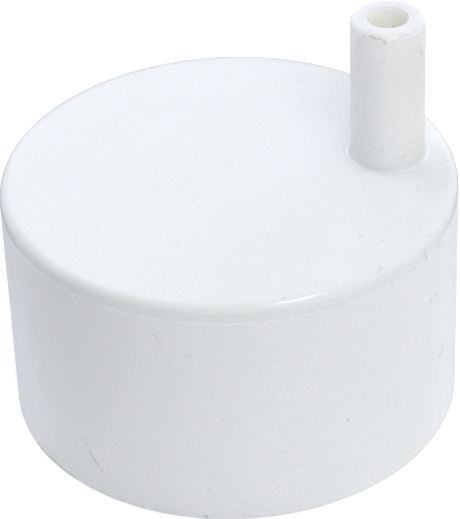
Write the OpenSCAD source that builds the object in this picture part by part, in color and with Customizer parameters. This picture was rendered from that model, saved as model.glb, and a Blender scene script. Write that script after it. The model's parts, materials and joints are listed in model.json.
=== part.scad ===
// End plug for a plastic drain pipe: a smooth round cup, closed at one end, with a
// thick-walled outlet nozzle that stands off centre on the closed end. The whole plug is
// one moulding. Sizes are in millimetres. The origin is the centre of the open rim, +Z
// runs up to the closed end, and the nozzle stands towards +X.

/* [Body] */
// Outside diameter of the round wall, which enters the pipe's socket
body_d = 110; // [90:1:160]
// Height from the open rim to the flat face of the closed end
body_h = 61.7; // [40:0.1:90]
// Thickness of the round wall at the open rim
wall_t = 3.2; // [2.4:0.1:4.5]
// Draft inside the wall, in degrees, by which the moulding leaves its core
inner_draft = 1; // [0.2:0.1:2]
// Thickness of the closed end
end_t = 3.5; // [2.5:0.1:5]

/* [Edges] */
// Radius of the outer edge between the round wall and the flat face
edge_r = 2.6; // [1:0.1:4]
// Radius of the hollow's corner between the round wall and the closed end
corner_r = 2.5; // [1:0.1:4]
// Radius that takes the sharpness off both edges of the open rim
rim_r = 0.4; // [0.2:0.1:1]

/* [Witness line] */
// Distance of the line, where the mould's halves met, below the rounded outer edge
line_gap = 1.2; // [0.2:0.1:3]
// Width of the ledge that the line leaves, because the end half is a hair smaller
line_step = 0.1; // [0.05:0.01:0.3]

/* [Nozzle] */
// Outside diameter of the nozzle
nozzle_d = 17.8; // [14:0.1:24]
// Height of the nozzle above the flat face
nozzle_h = 37.3; // [15:0.1:60]
// Flat face that is left between the nozzle's foot and the rounded outer edge
nozzle_margin = 3; // [0.5:0.1:15]
// Diameter of the bore through the nozzle and the closed end
bore_d = 9.6; // [5:0.1:12]
// Radius of the outer edge of the nozzle's mouth, up to half of the nozzle's wall
mouth_r = 1.4; // [0.3:0.1:3]
// Radius that takes the sharpness off both ends of the bore
bore_r = 0.3; // [0.1:0.1:0.5]
// Radius of the fillet where the nozzle stands on the flat face
foot_r = 1.2; // [0.3:0.1:2.5]

/* [Hidden] */
$fn = 96;

body_r = body_d / 2;
// Radius of the end half of the mould, above the witness line
cap_r = body_r - line_step;
nozzle_r = nozzle_d / 2;
nozzle_wall = (nozzle_d - bore_d) / 2;
// Distance of the nozzle's axis from the cup's axis
nozzle_x = cap_r - edge_r - nozzle_margin - foot_r - nozzle_r;
// Depth of the hollow, from the open rim to the inner face of the closed end
hollow_h = body_h - end_t;
// Height of the witness line above the open rim
line_z = body_h - edge_r - line_gap;
// How far a cut runs past the face that it starts from
past = 1;

// The piece between a square corner at the origin and the round that is drawn into it
module cove(r) {
    difference() {
        square(r);
        translate([r, r]) circle(r);
    }
}

// Half-section of a disc from low to high, with its upper outer corner rounded
module disc_section(r, low, high, corner) {
    polygon([[0, low], [r, low], [r, high - corner], [r - corner, high], [0, high]]);
    translate([r - corner, high - corner]) circle(corner);
}

// Half-section of the cup's hollow: drafted wall, round corner, eased rim
module hollow_section() {
    mouth = body_r - wall_t;
    corner_z = hollow_h - corner_r;
    corner_x = mouth - (corner_z - rim_r) * tan(inner_draft) - corner_r / cos(inner_draft);
    polygon([
        [0, -past],
        [mouth, -past],
        [mouth, rim_r],
        [corner_x + corner_r * cos(inner_draft), corner_z + corner_r * sin(inner_draft)],
        [corner_x, hollow_h],
        [0, hollow_h]
    ]);
    translate([corner_x, corner_z]) circle(corner_r);
    translate([mouth, 0]) cove(rim_r);
}

// Outside of the cup, with the ledge of the witness line
module cup_outside() {
    rotate_extrude() mirror([0, 1]) disc_section(body_r, -line_z, 0, rim_r);
    rotate_extrude() disc_section(cap_r, line_z - past, body_h, edge_r);
}

// The nozzle on its foot fillet, rooted half way into the closed end
module nozzle_outside() {
    root = end_t / 2;
    rotate_extrude() {
        disc_section(nozzle_r, -root, nozzle_h, min(mouth_r, nozzle_wall / 2));
        translate([0, -root]) square([nozzle_r + foot_r, root]);
        translate([nozzle_r, 0]) cove(foot_r);
    }
}

// The bore from the hollow to the nozzle's mouth, eased at both ends
module nozzle_bore() {
    length = nozzle_h + end_t;
    rotate_extrude() {
        translate([0, -past]) square([bore_d / 2, length + 2 * past]);
        translate([bore_d / 2, 0]) cove(bore_r);
        translate([bore_d / 2, length]) mirror([0, 1]) cove(bore_r);
    }
}

module plug_body() {
    color([0.93, 0.94, 0.95])
    difference() {
        union() {
            cup_outside();
            translate([nozzle_x, 0, body_h]) nozzle_outside();
        }
        rotate_extrude() hollow_section();
        translate([nozzle_x, 0, hollow_h]) nozzle_bore();
    }
}

plug_body();
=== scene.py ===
"""Looks of a white plastic pipe plug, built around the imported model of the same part.

The plug is one injection moulding: a round cup, closed on top, with a thick-walled outlet
nozzle off centre on the closed end. Lengths are written in millimetres and turned into
metres where a mesh or a node takes them. Headings are degrees from +X towards +Y.
"""

from __future__ import annotations

import json
import logging
import math
from collections.abc import Callable
from dataclasses import dataclass
from enum import Enum
from functools import cached_property

import bmesh
import bpy
from mathutils import Matrix, Vector


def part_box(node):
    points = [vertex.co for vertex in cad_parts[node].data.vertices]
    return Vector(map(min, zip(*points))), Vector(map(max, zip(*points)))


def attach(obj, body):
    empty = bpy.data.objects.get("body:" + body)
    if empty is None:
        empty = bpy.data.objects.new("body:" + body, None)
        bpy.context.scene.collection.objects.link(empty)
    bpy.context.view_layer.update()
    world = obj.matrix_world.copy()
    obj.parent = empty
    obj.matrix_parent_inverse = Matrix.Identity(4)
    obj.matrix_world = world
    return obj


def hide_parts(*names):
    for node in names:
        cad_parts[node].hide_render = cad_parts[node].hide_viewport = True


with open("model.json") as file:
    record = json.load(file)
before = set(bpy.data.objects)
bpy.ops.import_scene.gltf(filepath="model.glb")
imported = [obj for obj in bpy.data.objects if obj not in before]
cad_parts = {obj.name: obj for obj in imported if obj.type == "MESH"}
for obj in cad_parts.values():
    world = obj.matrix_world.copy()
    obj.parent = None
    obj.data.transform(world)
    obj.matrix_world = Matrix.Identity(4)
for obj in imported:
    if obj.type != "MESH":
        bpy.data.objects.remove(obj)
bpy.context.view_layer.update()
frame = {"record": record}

MM = 0.001
# Millimetres within which a point counts as on a ring or beside an axis.
NEAR = 0.01
ORIGIN = (0.0, 0.0, 0.0)
NODE = "plug_body"
BODY = "root"
log = logging.getLogger("pipe_plug")

Colour = tuple[float, float, float]
Span = tuple[float, float]
Socket = bpy.types.NodeSocket
Tree = bpy.types.NodeTree


class Region(Enum):
    """Parts of the moulding's skin that are finished apart."""

    TOP = "closed_end_plastic"
    WALL = "round_wall_plastic"
    NOZZLE = "nozzle_plastic"
    BORE = "stained_bore_plastic"
    HOLLOW = "hollow_plastic"


@dataclass(frozen=True)
class PlugSizes:
    """Sizes of the moulding in millimetres, the driving ones read from the frame.

    Attributes:
        body_r: Outer radius of the round wall.
        top_z: Height of the nozzle's mouth above the open rim.
        nozzle_x: Distance of the nozzle's axis from the cup's axis.
        nozzle_r: Outer radius of the nozzle.
        bore_r: Radius of the bore.
        nozzle_h: Height of the nozzle above the flat face.
        wall_t: Thickness of the round wall at the open rim.
        end_t: Thickness of the closed end.
        draft_deg: Slope of the wall's inner face.
        edge_r: Radius of the cup's rounded edge.
        corner_r: Radius of the hollow's corner.
        rim_r: Radius of the open rim's edges.
        line_gap: Distance from the rounded edge down to the witness line.
        line_step: How far the wall stands out below that line.
        mouth_r: Radius of the nozzle mouth's outer edge.
        bore_edge_r: Radius of the bore's edges.
        foot_r: Radius of the hollow rounding at the nozzle's foot.
    """

    body_r: float
    top_z: float
    nozzle_x: float
    nozzle_r: float
    bore_r: float
    nozzle_h: float = 37.3
    wall_t: float = 3.2
    end_t: float = 3.5
    draft_deg: float = 1.0
    edge_r: float = 2.6
    corner_r: float = 2.5
    rim_r: float = 0.4
    line_gap: float = 1.2
    line_step: float = 0.1
    mouth_r: float = 1.4
    bore_edge_r: float = 0.3
    foot_r: float = 1.2

    @classmethod
    def from_frame(cls) -> PlugSizes:
        """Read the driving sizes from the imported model's box and mounts."""
        _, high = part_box(NODE)
        mounts = {mount["name"]: mount for mount in frame["record"]["mounts"]}
        nozzle, bore = mounts["nozzle_outside"], mounts["nozzle_bore"]
        return cls(
            body_r=high.x / MM,
            top_z=high.z / MM,
            nozzle_x=nozzle["pos_m"][0] / MM,
            nozzle_r=nozzle["dims"]["r_mm"],
            bore_r=bore["dims"]["r_mm"],
        )

    @property
    def face_z(self) -> float:
        """Height of the flat face of the closed end."""
        return self.top_z - self.nozzle_h

    @property
    def hollow_z(self) -> float:
        """Height of the closed end's inner face."""
        return self.face_z - self.end_t

    @property
    def line_z(self) -> float:
        """Height of the witness line."""
        return self.face_z - self.edge_r - self.line_gap

    @property
    def cap_r(self) -> float:
        """Outer radius above the witness line."""
        return self.body_r - self.line_step

    @property
    def rim_in_r(self) -> float:
        """Inner radius of the wall at the open rim."""
        return self.body_r - self.wall_t

    @property
    def hollow_r(self) -> float:
        """Inner radius of the wall at the closed end, after its draft."""
        drafted = self.hollow_z - self.rim_r
        return self.rim_in_r - drafted * math.tan(math.radians(self.draft_deg))

    def wall_radius(self, height: float) -> float:
        """Outer radius of the cup at a height, its rounded edge included."""
        if height <= self.line_z:
            return self.body_r
        over = max(0.0, height - (self.face_z - self.edge_r))
        return self.cap_r - self.edge_r + math.sqrt(max(0.0, self.edge_r**2 - over**2))

    def nozzle_radius(self, height: float) -> float:
        """Outer radius of the nozzle at a height, its rounded mouth included."""
        over = max(0.0, height - (self.top_z - self.mouth_r))
        return self.nozzle_r - self.mouth_r + math.sqrt(max(0.0, self.mouth_r**2 - over**2))

    def region(self, place: Vector) -> Region:
        """Region of the skin that a point in millimetres lies on."""
        play, bore_play, foot_border = 0.001, 0.004, 0.5
        out = math.hypot(place.x, place.y)
        from_nozzle = math.hypot(place.x - self.nozzle_x, place.y)
        on_face = place.z > self.face_z - play
        if from_nozzle < self.bore_r + bore_play:
            return Region.BORE
        if on_face and from_nozzle < self.nozzle_r + self.foot_r + foot_border:
            return Region.NOZZLE
        if on_face or (out > self.cap_r - self.edge_r and place.z > self.line_z + play):
            return Region.TOP
        if out > self.body_r - self.rim_r:
            return Region.WALL
        return Region.HOLLOW


@dataclass(frozen=True)
class Ring:
    """A level ring of edges on the moulding's skin, in millimetres.

    Attributes:
        radius: Radius of the ring.
        height: Height above the open rim.
        x: Place of the ring's centre along X.
    """

    radius: float
    height: float
    x: float = 0.0

    def holds(self, vertex: bmesh.types.BMVert) -> bool:
        """Whether a vertex lies on the ring."""
        place = vertex.co / MM
        out = math.hypot(place.x - self.x, place.y)
        return abs(out - self.radius) < 2 * NEAR and abs(place.z - self.height) < 2 * NEAR

    def towards(self, other: Ring, share: float) -> Ring:
        """The ring that lies a share of the way to another one."""
        return Ring(
            self.radius + (other.radius - self.radius) * share,
            self.height + (other.height - self.height) * share,
            self.x + (other.x - self.x) * share,
        )

    def steps_to(self, other: Ring, count: int) -> list[Ring]:
        """Evenly spaced rings strictly between this one and another one."""
        return [self.towards(other, step / (count + 1)) for step in range(1, count + 1)]


def select_only(parts: str, test: Callable[[bmesh.types.BMElem], bool]) -> int:
    """Select only those parts of the mesh in edit mode that pass a test.

    Args:
        parts: Which parts: verts, edges or faces.
        test: Returns True for a part that is wanted.

    Returns:
        How many parts passed.
    """
    bpy.ops.mesh.select_all(action="DESELECT")
    data = bpy.context.edit_object.data
    chosen = [part for part in getattr(bmesh.from_edit_mesh(data), parts) if test(part)]
    for part in chosen:
        part.select_set(True)
    bmesh.update_edit_mesh(data)
    return len(chosen)


class RingModeller:
    """Draws, picks, rounds and cuts the rings of the mesh that is in edit mode.

    Args:
        segments: Edges in every ring.
    """

    def __init__(self, segments: int) -> None:
        self.segments = segments

    def draw(self, rings: list[Ring]) -> None:
        """Draw a skin by extruding one ring along a list of places.

        Args:
            rings: The rings in order, the first one added as a plain circle.
        """
        first = rings[0]
        bpy.ops.mesh.primitive_circle_add(
            vertices=self.segments,
            radius=first.radius * MM,
            fill_type="NOTHING",
            location=(first.x * MM, 0, first.height * MM),
        )
        for ring, following in zip(rings, rings[1:]):
            move = ((following.x - ring.x) * MM, 0, (following.height - ring.height) * MM)
            grow = following.radius / ring.radius
            bpy.ops.mesh.extrude_region_move(TRANSFORM_OT_translate={"value": move})
            bpy.ops.transform.resize(
                value=(grow, grow, 1),
                center_override=(following.x * MM, 0, following.height * MM),
            )

    def pick(self, test: Callable[[bmesh.types.BMEdge], bool], count: int) -> None:
        """Select only the edges that pass a test.

        Args:
            test: Returns True for an edge that is wanted.
            count: Number of edges that have to pass.
        """
        found = select_only("edges", test)
        if found != count:
            raise ValueError(f"{found} edges were found, and {count} expected")

    def pick_rings(self, *rings: Ring) -> None:
        """Select the whole rings at the given places."""

        def on_one(edge: bmesh.types.BMEdge) -> bool:
            """Whether an edge lies on one of the rings."""
            return any(ring.holds(edge.verts[0]) and ring.holds(edge.verts[1]) for ring in rings)

        self.pick(on_one, self.segments * len(rings))

    def pick_rise(self, x: float, test: Callable[[Vector], bool]) -> None:
        """Select the edges that run up the back of a round wall.

        Args:
            x: Place of the wall's axis along X.
            test: Returns True for a place in millimetres on the wall that is wanted.
        """

        def rises(edge: bmesh.types.BMEdge) -> bool:
            """Whether an edge runs up the back and is wanted."""
            ends = [vertex.co / MM for vertex in edge.verts]
            behind = all(abs(end.x - x) < NEAR and end.y > 0 for end in ends)
            return behind and test((ends[0] + ends[1]) / 2)

        select_only("edges", rises)

    def round_off(self, radius: float, steps: int, *rings: Ring) -> None:
        """Round the corners that run along rings.

        Args:
            radius: Width of the rounding on either side of the corner.
            steps: Faces across the rounding.
            rings: The corners.
        """
        self.pick_rings(*rings)
        bpy.ops.mesh.bevel(
            offset=radius * MM, offset_type="OFFSET", segments=steps, profile=0.5, affect="EDGES"
        )

    def cut_between(self, low: Ring, high: Ring, cuts: int) -> None:
        """Cut the faces between two neighbouring rings into even rings.

        Args:
            low: The first ring.
            high: The second ring.
            cuts: New rings between them.
        """

        def crosses(edge: bmesh.types.BMEdge) -> bool:
            """Whether an edge goes from one ring to the other."""
            one, other = edge.verts
            return (low.holds(one) and high.holds(other)) or (low.holds(other) and high.holds(one))

        self.pick(crosses, self.segments)
        bpy.ops.mesh.subdivide(number_cuts=cuts)


@dataclass(frozen=True)
class Nick:
    """A small dent in the rounded edge of the nozzle's mouth.

    Attributes:
        heading_deg: Direction of the dent from the nozzle's axis.
        below: Depth of its middle below the mouth.
        reach: Radius of the dent.
        depth: How far its middle is pushed in.
    """

    heading_deg: float
    below: float
    reach: float
    depth: float


@dataclass
class PlugMoulding:
    """The whole plug: cup, closed end and nozzle, modelled as one closed skin.

    Attributes:
        sizes: Sizes of the moulding.
        segments: Edges in every ring of the skin.
        support: Width of the flat ring beside each rounding, in millimetres.
        inner_rings: Rings on the closed end's inner face.
        outer_rings: Rings on its flat outer face.
        merge_within: Distance in millimetres at which points are one.
        smooth_deg: Angle between faces up to which their edge is shaded smooth.
        hidden_map_share: Size of the unseen inside on the texture map, next to the outside.
        map_gap: Gap between islands on the map.
        name: Name of the piece.
        nicks: Dents round the nozzle's mouth.
    """

    sizes: PlugSizes
    segments: int = 256
    support: float = 0.6
    inner_rings: int = 14
    outer_rings: int = 26
    merge_within: float = 0.001
    smooth_deg: float = 40
    hidden_map_share: float = 0.5
    map_gap: float = 0.002
    name: str = "plug_moulding"
    nicks: tuple[Nick, ...] = (
        Nick(-126, 0.6, 0.9, 0.12),
        Nick(-119, 0.4, 0.7, 0.16),
        Nick(-109, 1.2, 0.6, 0.10),
        Nick(-91, 0.3, 0.6, 0.14),
        Nick(-76, 0.4, 0.8, 0.10),
        Nick(-38, 0.8, 1.1, 0.14),
        Nick(22, 0.5, 0.8, 0.12),
        Nick(124, 0.7, 0.9, 0.10),
    )

    def build(self) -> bpy.types.Object:
        """Model the skin, lay out its texture map and split it into regions.

        Returns:
            The finished object, at the origin.
        """
        skin = self._new_object()
        bpy.ops.object.mode_set(mode="EDIT")
        bpy.ops.mesh.select_mode(type="EDGE")
        rings = RingModeller(self.segments)
        rings.draw(self._section())
        bpy.ops.mesh.select_all(action="SELECT")
        bpy.ops.mesh.remove_doubles(threshold=self.merge_within * MM)
        self._round_edges(rings)
        self._cut_walls(rings)
        bpy.ops.mesh.select_all(action="SELECT")
        bpy.ops.mesh.normals_make_consistent(inside=False)
        self._mark_seams(rings)
        self._lay_out_map()
        self._split_regions(skin)
        self._dent_mouth()
        bpy.ops.object.mode_set(mode="OBJECT")
        bpy.ops.object.shade_smooth_by_angle(angle=math.radians(self.smooth_deg))
        return skin

    def dress(self, skin: bpy.types.Object, finishes: dict[Region, bpy.types.Material]) -> None:
        """Give every region its material.

        Args:
            skin: The modelled object.
            finishes: Material of each region.
        """
        for slot, region in zip(skin.material_slots, Region):
            slot.material = finishes[region]

    def _new_object(self) -> bpy.types.Object:
        """Make an empty mesh object and leave it as the only one selected."""
        bpy.ops.object.select_all(action="DESELECT")
        skin = bpy.data.objects.new(self.name, bpy.data.meshes.new(self.name))
        bpy.context.collection.objects.link(skin)
        skin.select_set(True)
        bpy.context.view_layer.objects.active = skin
        return skin

    def _stem(self, radius: float, height: float) -> Ring:
        """A ring round the nozzle's axis."""
        return Ring(radius, height, self.sizes.nozzle_x)

    def _section(self) -> list[Ring]:
        """The skin's rings with square corners, from the flat face round the wall and back.

        The last ring lies on the first one, where the skin is merged.
        """
        s, flat = self.sizes, self.support
        face = Ring(s.cap_r - s.edge_r - flat, s.face_z)
        cup = [
            face,
            Ring(s.cap_r, s.face_z),
            Ring(s.cap_r, s.line_z),
            Ring(s.body_r, s.line_z - s.line_step),
            Ring(s.body_r, 0),
            Ring(s.rim_in_r, 0),
            Ring(s.rim_in_r, s.rim_r + flat),
            Ring(s.hollow_r, s.hollow_z),
            Ring(s.hollow_r - s.corner_r - flat, s.hollow_z),
        ]
        nozzle = [
            self._stem(s.bore_r + s.bore_edge_r + flat, s.hollow_z),
            self._stem(s.bore_r, s.hollow_z),
            self._stem(s.bore_r, s.top_z),
            self._stem(s.nozzle_r, s.top_z),
            self._stem(s.nozzle_r, s.face_z),
            self._stem(s.nozzle_r + s.foot_r + flat, s.face_z),
        ]
        inner_face = cup[-1].steps_to(nozzle[0], self.inner_rings)
        outer_face = nozzle[-1].steps_to(face, self.outer_rings)
        return [*cup, *inner_face, *nozzle, *outer_face, face]

    def _round_edges(self, rings: RingModeller) -> None:
        """Round every corner to its radius."""
        s = self.sizes
        for radius, steps, *corners in (
            (s.edge_r, 10, Ring(s.cap_r, s.face_z)),
            (s.rim_r, 4, Ring(s.body_r, 0), Ring(s.rim_in_r, 0)),
            (self._corner_width(), 8, Ring(s.hollow_r, s.hollow_z)),
            (s.foot_r, 6, self._stem(s.nozzle_r, s.face_z)),
            (s.mouth_r, 8, self._stem(s.nozzle_r, s.top_z)),
            (s.bore_edge_r, 3, self._stem(s.bore_r, s.top_z), self._stem(s.bore_r, s.hollow_z)),
        ):
            rings.round_off(radius, steps, *corners)

    def _corner_width(self) -> float:
        """Width of the rounding in the hollow's corner on either side of the corner."""
        return self.sizes.corner_r * math.tan(math.radians(90 - self.sizes.draft_deg) / 2)

    def _nozzle_wall(self) -> tuple[Ring, Ring]:
        """Lower and upper end of the nozzle's plain wall."""
        s = self.sizes
        low, high = s.face_z + s.foot_r, s.top_z - s.mouth_r
        return self._stem(s.nozzle_r, low), self._stem(s.nozzle_r, high)

    def _bore_wall(self) -> tuple[Ring, Ring]:
        """Lower and upper end of the bore's plain wall."""
        s = self.sizes
        low, high = s.hollow_z + s.bore_edge_r, s.top_z - s.bore_edge_r
        return self._stem(s.bore_r, low), self._stem(s.bore_r, high)

    def _cut_walls(self, rings: RingModeller) -> None:
        """Cut the long walls into rings that are near square."""
        s = self.sizes
        cup_wall = Ring(s.body_r, s.rim_r), Ring(s.body_r, s.line_z - s.line_step)
        for ends, cuts in ((cup_wall, 30), (self._nozzle_wall(), 44), (self._bore_wall(), 24)):
            rings.cut_between(*ends, cuts)

    def _mark_seams(self, rings: RingModeller) -> None:
        """Mark where the skin is cut open for its texture map."""
        s, draft, draft_play = self.sizes, math.radians(self.sizes.draft_deg), 2.0
        foot_top, mouth_low = self._nozzle_wall()
        bore_low, bore_top = self._bore_wall()
        hollow_top = Ring(
            s.hollow_r + self._corner_width() * math.sin(draft),
            s.hollow_z - self._corner_width() * math.cos(draft),
        )
        ends = (foot_top, mouth_low, bore_low, bore_top, hollow_top)
        cup = (Ring(s.cap_r, s.line_z), Ring(s.body_r, s.rim_r), Ring(s.rim_in_r, s.rim_r))
        rings.pick_rings(*cup, *ends)
        bpy.ops.mesh.mark_seam()

        def on_cup(at: Vector) -> bool:
            """Whether a place is on the cup's wall, outside or inside."""
            return at.y > s.rim_in_r - draft_play and s.rim_r < at.z < s.line_z

        def on_nozzle(at: Vector) -> bool:
            """Whether a place is in the nozzle, as high as its plain outer wall."""
            return at.y < s.nozzle_r + NEAR and foot_top.height < at.z < mouth_low.height

        def in_bore(at: Vector) -> bool:
            """Whether a place is on the bore's plain wall."""
            return at.y < s.bore_r + NEAR and bore_low.height < at.z < bore_top.height

        for x, test in ((0, on_cup), (s.nozzle_x, on_nozzle), (s.nozzle_x, in_bore)):
            rings.pick_rise(x, test)
            bpy.ops.mesh.mark_seam()

    def _lay_out_map(self) -> None:
        """Unwrap the skin along its seams, with the unseen inside smaller on the map."""
        bpy.ops.mesh.uv_texture_add()
        mesh = bpy.context.edit_object.data
        mesh.uv_layers.active.name = "OFBake"
        bpy.ops.mesh.select_all(action="SELECT")
        bpy.ops.uv.unwrap(method="CONFORMAL", margin=self.map_gap / 2)
        bpy.ops.uv.select_all(action="SELECT")
        bpy.ops.uv.average_islands_scale()
        edited = bmesh.from_edit_mesh(mesh)
        places = edited.loops.layers.uv.active
        for face in edited.faces:
            if self._region(face) is Region.HOLLOW:
                for corner in face.loops:
                    corner[places].uv *= self.hidden_map_share
        bmesh.update_edit_mesh(mesh)
        bpy.ops.uv.pack_islands(margin=self.map_gap)

    def _region(self, face: bmesh.types.BMFace) -> Region:
        """Region of the skin that a face belongs to."""
        return self.sizes.region(face.calc_center_median() / MM)

    def _split_regions(self, skin: bpy.types.Object) -> None:
        """Give every region of the skin a material slot of its own."""
        bpy.ops.mesh.select_mode(type="FACE")
        for index, region in enumerate(Region):
            skin.data.materials.append(None)
            select_only("faces", lambda face, wanted=region: self._region(face) is wanted)
            skin.active_material_index = index
            bpy.ops.object.material_slot_assign()

    def _dent_mouth(self) -> None:
        """Push the nicks into the edge of the nozzle's mouth."""
        s = self.sizes
        bpy.ops.mesh.select_mode(type="VERT")
        for nick in self.nicks:
            heading = math.radians(nick.heading_deg)
            out = Vector((math.cos(heading), math.sin(heading), 0))
            over = max(0.0, s.mouth_r - nick.below)
            radius = s.nozzle_radius(s.top_z - nick.below)
            middle = Vector((s.nozzle_x, 0, s.top_z - nick.below)) + out * radius
            bpy.ops.mesh.select_all(action="DESELECT")
            edited = bmesh.from_edit_mesh(bpy.context.edit_object.data)
            nearest = min(edited.verts, key=lambda vertex: (vertex.co / MM - middle).length)
            nearest.select_set(True)
            bmesh.update_edit_mesh(bpy.context.edit_object.data)
            inward = (out + Vector((0, 0, over / s.mouth_r))).normalized() * -nick.depth * MM
            bpy.ops.transform.translate(
                value=inward,
                use_proportional_edit=True,
                proportional_edit_falloff="SMOOTH",
                proportional_size=nick.reach * MM,
            )


class Matter(Enum):
    """What lies on the plastic, painted shade and painted highlights among it, by its linear colour
    and what it adds to the roughness.
    """

    # Dark specks, and the painted contact shadow along the bottom of the rim.
    SOOT = ((0.22, 0.21, 0.20), 0.4)
    TAN = ((0.52, 0.44, 0.28), 0.4)
    COOL = ((0.30, 0.42, 0.43), 0.4)
    # A painted glint.
    PAINTED_GLINT = ((0.97, 0.97, 0.97), 0.4)
    FINE_SOOT = ((0.22, 0.21, 0.20), 0.3)
    FINE_TAN = ((0.52, 0.44, 0.28), 0.3)
    HAIRLINE = ((0.7, 0.7, 0.7), 0.5)
    # Painted shade where the plastic is seen edge-on.
    FILM = ((0.38, 0.40, 0.44), 0.6)
    # Painted shade on the cup's wall, darker high up and towards -X.
    WALL_DUST = ((0.42, 0.43, 0.45), 0.1)
    # Painted shade along the upper rounding of the closed end.
    EDGE_DUST = ((0.42, 0.43, 0.45), 0.5)
    # Painted shade, warm-tinted, on the front rounding of the closed end.
    EDGE_GRIME = ((0.70, 0.66, 0.58), 0.05)
    POLISH = (None, -0.1)
    # Paler witness line: partly whitening of the plastic, partly a painted highlight.
    BRIGHT_LINE = ((0.95, 0.96, 0.97), -0.1)
    DULL_LINE = ((0.55, 0.55, 0.56), 0.2)
    TICK = ((0.50, 0.46, 0.38), 0.2)
    # Painted shade on the nozzle's side.
    NOZZLE_SOIL = ((0.52, 0.525, 0.49), 0.1)
    NOZZLE_GRIME = ((0.52, 0.525, 0.49), 0.15)
    # Painted shade on the nozzle's flat mouth.
    MOUTH_DUST = ((0.48, 0.50, 0.53), 0.1)
    # The flat face's tone at the foot, which paints shade into its crease below the nozzle's paler
    # base.
    FOOT = ((0.78, 0.80, 0.81), 0.0)
    # Painted highlight round the nozzle's foot.
    FOOT_RIM = ((0.97, 0.97, 0.98), -0.1)
    BORE_STAIN = ((0.92, 0.90, 0.83), 0.15)
    BORE_SCALE = ((0.66, 0.60, 0.46), 0.2)

    def __init__(self, colour: Colour | None, roughness: float) -> None:
        self.colour = colour
        self.roughness = roughness


class Place(Enum):
    """Which face of the plug a mark's two numbers are measured on.

    On the flat face they are X and Y. On a round wall they are the heading from the wall's
    axis in degrees and the height above the open rim.
    """

    FACE = "flat face"
    WALL = "round wall"
    NOZZLE = "nozzle"


@dataclass(frozen=True)
class Mark:
    """A speck, smudge or scuff on the plastic; a few are a painted glint and painted shadow lines.

    Attributes:
        place: Face that it lies on.
        start: One end of it.
        end: The other end.
        width: Width in millimetres.
        cover: Share of the plastic that it hides, up to 1.
        stain: What it is made of; for the glint and the shadow lines, what is painted.
    """

    place: Place
    start: tuple[float, float]
    end: tuple[float, float]
    width: float
    cover: float
    stain: Matter = Matter.SOOT

    def ends(self, sizes: PlugSizes) -> tuple[Vector, Vector]:
        """Both ends of the mark in space, in metres."""
        return self._at(self.start, sizes) * MM, self._at(self.end, sizes) * MM

    def region(self, sizes: PlugSizes) -> Region:
        """Region whose material shows the mark."""
        if self.place is Place.NOZZLE:
            return Region.NOZZLE
        if self.place is Place.FACE or self.start[1] > sizes.line_z:
            return Region.TOP
        return Region.WALL

    def _at(self, spot: tuple[float, float], sizes: PlugSizes) -> Vector:
        """Place of one end in millimetres."""
        if self.place is Place.FACE:
            return Vector((*spot, sizes.face_z))
        heading, height = math.radians(spot[0]), spot[1]
        if self.place is Place.NOZZLE:
            axis, radius = sizes.nozzle_x, sizes.nozzle_radius(height)
        else:
            axis, radius = 0.0, sizes.wall_radius(height)
        return Vector((axis + radius * math.cos(heading), radius * math.sin(heading), height))


def speck(
    place: Place, at: tuple[float, float], width: float, cover: float, stain: Matter = Matter.SOOT
) -> Mark:
    """A mark that is as long as it is wide."""
    return Mark(place, at, at, width, cover, stain)


# Matters of the placed marks; one of them is a painted glint.
MARK_MATTERS = (Matter.SOOT, Matter.TAN, Matter.COOL, Matter.PAINTED_GLINT)
_, TAN, COOL, PAINTED_GLINT = MARK_MATTERS
FACE, WALL, NOZZLE = Place
MOUTH_MARKS = (
    Mark(NOZZLE, (-143, 98.1), (-139, 98.0), 0.7, 0.20),
    Mark(NOZZLE, (-134, 98.3), (-114, 98.3), 1.0, 0.12, TAN),
    Mark(NOZZLE, (-131, 98.3), (-125, 98.35), 0.8, 0.32),
    Mark(NOZZLE, (-122, 98.3), (-116, 98.3), 0.8, 0.36),
    Mark(NOZZLE, (-110, 97.9), (-108, 97.4), 0.8, 0.28),
    Mark(NOZZLE, (-84, 98.6), (-68, 98.5), 0.4, 0.26),
    Mark(NOZZLE, (-58, 98.6), (-53, 98.7), 0.4, 0.22),
    Mark(NOZZLE, (-50, 94.8), (-46, 92.6), 0.7, 0.20, TAN),
    Mark(NOZZLE, (-43, 92.4), (-35, 90.2), 0.7, 0.32),
)
FOOT_MARKS = (
    # Painted glint on the edge of the nozzle's mouth.
    speck(NOZZLE, (-92.5, 98.55), 0.7, 0.9, PAINTED_GLINT),
    Mark(NOZZLE, (-112, 68.7), (-112.5, 67.4), 0.35, 0.45),
    Mark(NOZZLE, (-91, 64.9), (-80, 65.3), 0.5, 0.22, TAN),
    Mark(NOZZLE, (-80, 65.3), (-76, 65.7), 0.7, 0.34, TAN),
    speck(NOZZLE, (-68, 63.5), 0.7, 0.14, TAN),
)
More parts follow.
